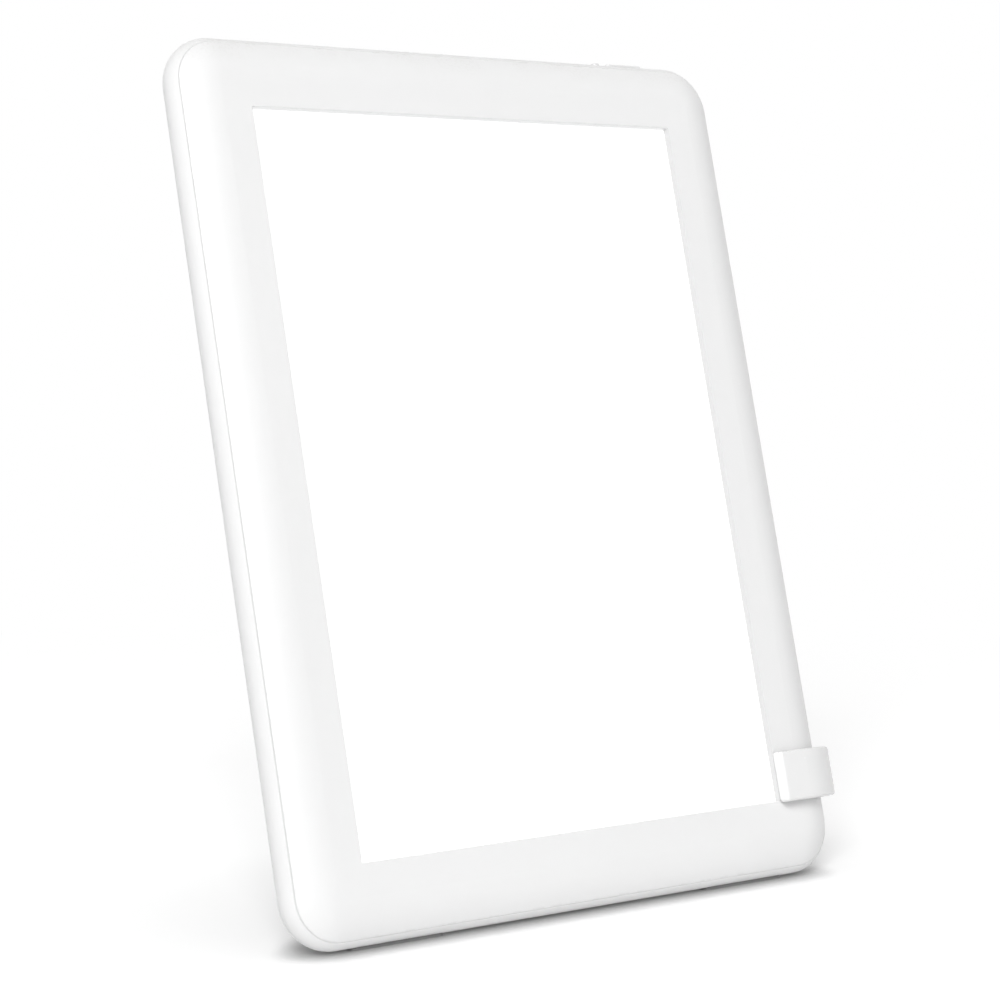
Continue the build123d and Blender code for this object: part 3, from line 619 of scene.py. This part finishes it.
def ferrite():
    """Pressed ferrite: near black, gritty, paler where it is chipped."""
    grit_size = 0.00025
    chip_size = 0.0012
    chipped = grey(0.11)
    material, tree, shader = new_material("ferrite")
    grit = speckle(tree, grit_size, 5.0)
    chips = rises(tree, speckle(tree, chip_size, 3.0), low=0.62, high=0.68)
    worn = use(tree, wear_group, Reach=0.0004)["Edge"]
    body = mix(tree, grit, grey(0.030), grey(0.055))
    paint(tree, shader, maths(tree, "MAXIMUM", worn, chips), body, chipped)
    roughen(tree, shader, grit, smooth=0.5, rough=0.7)
    bump(tree, shader, grit, 0.00003)
    return material


def drawn_can():
    """A drawn aluminium can, bright at its crimped edge."""
    draw_size = 0.0004
    edge = grey(0.9)
    material, tree, shader = new_material("capacitor_can")
    draw = speckle(tree, draw_size, 4.0)
    worn = use(tree, wear_group, Reach=0.0003)["Edge"]
    can = mix(tree, draw, (0.77, 0.77, 0.79, 1), (0.84, 0.84, 0.86, 1))
    paint(tree, shader, worn, can, edge)
    shader.inputs["Metallic"].default_value = 1.0
    roughen(tree, shader, draw, smooth=0.22, rough=0.32)
    bump(tree, shader, draw, 0.000008)
    return material


def chip_resin():
    """Black resin, and tinned legs at the chips' upper and lower sides."""
    half_body = 0.00202
    grit_size = 0.00012
    tin = (0.72, 0.71, 0.69, 1)
    material, tree, shader = new_material("chip_resin")
    low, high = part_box("driver_chips")
    centre = sum(window_up[axis] * (low[axis] + high[axis]) / 2 for axis in (1, 2))
    off_centre = maths(tree, "ABSOLUTE", maths(tree, "SUBTRACT", use(tree, axes_group)["Up"], centre))
    legs = maths(tree, "GREATER_THAN", off_centre, half_body)
    grit = speckle(tree, grit_size, 3.0)
    resin = mix(tree, grit, grey(0.022), grey(0.04))
    paint(tree, shader, legs, resin, tin)
    tree.links.new(legs, shader.inputs["Metallic"])
    roughen(tree, shader, grit, smooth=0.38, rough=0.52)
    bump(tree, shader, grit, 0.000008)
    return material


dress(circuit_board(), "driver_board", "key_board")
dress(ferrite(), "driver_coil")
dress(drawn_can(), "driver_capacitors")
dress(chip_resin(), "driver_chips")
dress(moulded("socket_nylon", (0.82, 0.79, 0.66, 1), 0.40, reach=0.0003), "lead_sockets")


# ---------------------------------------------------------------- power inlet
# A coaxial jack moulded in black nylon stands behind the round opening in the
# back; its centre pin is turned brass with a nickel flash.
def turned_pin():
    """Brass under a thin nickel flash, with the rings of turning."""
    ring_pitch = 0.00025
    wipe_size = 0.0006
    material, tree, shader = new_material("plated_brass")
    rings = repeat(tree, use(tree, axes_group)["Back"], ring_pitch)
    wipe = speckle(tree, wipe_size, 3.0)
    paint(tree, shader, wipe, (0.74, 0.66, 0.44, 1), (0.80, 0.75, 0.62, 1))
    shader.inputs["Metallic"].default_value = 1.0
    roughen(tree, shader, wipe, smooth=0.18, rough=0.3)
    bump(tree, shader, rings, 0.000006)
    return material


dress(moulded("jack_nylon", grey(0.03), 0.36, reach=0.0003), "inlet_jack")
dress(turned_pin(), "inlet_pin")


# ---------------------------------------------------------------- inner leads
# Stranded wire in vinyl. The strands press faint ridges into the insulation,
# and handling leaves it a little dull.
def vinyl(name, colour):
    """Soft insulation over strands, darker in patches."""
    strands_per_metre = 420.0
    patch_size = 0.004
    material, tree, shader = new_material(name)
    wires = {"Vector": own_place(tree), "Scale": strands_per_metre, "Distortion": 1.5}
    strands = node(tree, "TexWave", wires, bands_direction="DIAGONAL").outputs["Fac"]
    handled = speckle(tree, patch_size, 3.0)
    paint(tree, shader, handled, colour, tinted(colour, 0.86))
    roughen(tree, shader, handled, smooth=0.38, rough=0.52)
    bump(tree, shader, strands, 0.00001)
    return material


red_vinyl = vinyl("red_vinyl", (0.50, 0.035, 0.03, 1))
pale_vinyl = vinyl("pale_vinyl", (0.78, 0.78, 0.75, 1))
dress(red_vinyl, "strip_lead_left", "strip_lead_right", "jack_leads")
dress(pale_vinyl, "key_lead")

# ---------------------------------------------------------------- switches
# Two tactile switches under the buttons, black resin cases with cream nylon
# plungers that the buttons' stems press down.
switch_resin = moulded("switch_resin", grey(0.045), 0.46, reach=0.0003)
plunger_nylon = moulded("plunger_nylon", (0.80, 0.76, 0.62, 1), 0.38, reach=0.0002)
dress(switch_resin, "key_switches")
dress(plunger_nylon, "power_actuator", "dimmer_actuator")

# ---------------------------------------------------------------- rear shell
# Moulded in the same white as the frame, with a slightly coarser grain. Four
# screws sit in its wells.
# Shade is painted into its gaps, such as along its parting line.
housing_white = moulded(
    "housing_white", grey(abs_white), 0.38, grain=0.0005, depth=0.000014, crevice_shade=0.2
)
dress(housing_white, "rear_shell")

# ---------------------------------------------------------------- buttons
# Two caps in nearly the same white that stand just proud of the top edge.
# Fingers keep their tops smoother than the housing.
button_white = moulded("button_white", grey(0.86), 0.30, grain=0.0003, reach=0.0004)
dress(button_white, "power_button", "dimmer_button")

# ---------------------------------------------------------------- stand
# One bent strip of white plastic that clips over the housing's right side. It is glossier than the
# housing, and shade is painted where it grips.
stand_white = moulded(
    "stand_white", grey(abs_white), 0.26, grain=0.0006, depth=0.000008, crevice_shade=0.8
)
dress(stand_white, "stand_strip")


# ---------------------------------------------------------------- feet and pads
# Soft grey rubber, matt from the mould, a little chalky where it rubs on the
# table.
def soft_rubber():
    """Dark grey rubber, chalky near the table."""
    chalk_height = 0.0012
    chalky = grey(0.24)
    material, tree, shader = new_material("soft_rubber")
    skin = use(tree, grain_group, Size=0.0004)
    low_down = rises(tree, axis_of(tree, own_place(tree), "Z"), low=chalk_height, high=0.0)
    chalk = maths(tree, "MULTIPLY", low_down, skin["Shine"])
    body = mix(tree, skin["Mottle"], grey(0.15), grey(0.18))
    paint(tree, shader, chalk, body, chalky)
    roughen(tree, shader, skin["Shine"], smooth=0.66, rough=0.8, low=0.0, high=1.0)
    bump(tree, shader, skin["Height"], 0.00002)
    return material


dress(soft_rubber(), "stand_pads", "body_feet")
